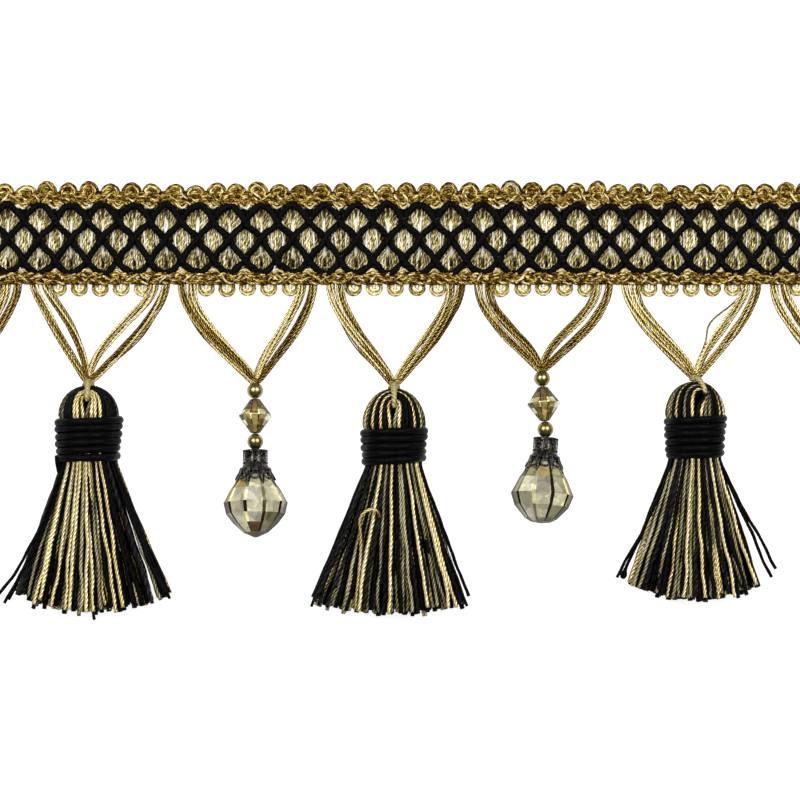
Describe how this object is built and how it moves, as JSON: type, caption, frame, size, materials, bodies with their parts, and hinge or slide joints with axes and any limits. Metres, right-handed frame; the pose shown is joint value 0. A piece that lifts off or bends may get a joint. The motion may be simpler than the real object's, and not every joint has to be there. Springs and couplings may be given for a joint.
{
  "type": "tassel fringe trim",
  "caption": "Decorative fringe trim: woven heading with a cord lattice and scalloped gimp edges, hung by turns with bound yarn tassels and bead drops on V-shaped yarn loops.",
  "frame": {"origin": "middle of the heading's flat back, halfway along the cut length", "axes": "+X along the heading, +Y from the tassels towards the heading's top edge, +Z out of the face"},
  "size_m": [0.2584, 0.107, 0.0172],
  "materials": {
    "ground_weave": "woven gold and cream yarn",
    "gold_yarn": "satin twisted yarn",
    "black_cord": "satin cord",
    "tassel_yarn": "black and gold satin yarns mixed",
    "gilt_bead": "polished pale gold",
    "clear_bead": "clear, cut, pale champagne",
    "cut_pendant": "cut, champagne grey with amber edges",
    "aged_brass": "dark antique, pierced work"
  },
  "bodies": {
    "root": {"heading_tape": "ground_weave", "lattice_net": "black_cord", "top_gimp": "gold_yarn", "bottom_gimp": "gold_yarn", "picot_comb": "gold_yarn", "hanger_outer_1": "gold_yarn", "hanger_inner_1": "gold_yarn", "hanger_outer_2": "gold_yarn", "hanger_inner_2": "gold_yarn", "hanger_outer_3": "gold_yarn", "hanger_inner_3": "gold_yarn", "hanger_outer_4": "gold_yarn", "hanger_inner_4": "gold_yarn", "hanger_outer_5": "gold_yarn", "hanger_inner_5": "gold_yarn", "hanger_outer_6": "gold_yarn", "hanger_inner_6": "gold_yarn", "hanger_outer_7": "gold_yarn", "hanger_inner_7": "gold_yarn", "tassel_yarn_1": "tassel_yarn", "tassel_collar_1": "black_cord", "tassel_tie_1": "gold_yarn", "tassel_yarn_2": "tassel_yarn", "tassel_collar_2": "black_cord", "tassel_tie_2": "gold_yarn", "tassel_yarn_3": "tassel_yarn", "tassel_collar_3": "black_cord", "tassel_tie_3": "gold_yarn", "drop_thread_1": "gold_yarn", "drop_bead_upper_1": "gilt_bead", "drop_bicone_1": "clear_bead", "drop_bead_lower_1": "gilt_bead", "drop_cap_1": "aged_brass", "drop_pendant_1": "cut_pendant", "drop_thread_2": "gold_yarn", "drop_bead_upper_2": "gilt_bead", "drop_bicone_2": "clear_bead", "drop_bead_lower_2": "gilt_bead", "drop_cap_2": "aged_brass", "drop_pendant_2": "cut_pendant", "drop_thread_3": "gold_yarn", "drop_bead_upper_3": "gilt_bead", "drop_bicone_3": "clear_bead", "drop_bead_lower_3": "gilt_bead", "drop_cap_3": "aged_brass", "drop_pendant_3": "cut_pendant", "drop_thread_4": "gold_yarn", "drop_bead_upper_4": "gilt_bead", "drop_bicone_4": "clear_bead", "drop_bead_lower_4": "gilt_bead", "drop_cap_4": "aged_brass", "drop_pendant_4": "cut_pendant"}
  },
  "joints": []
}
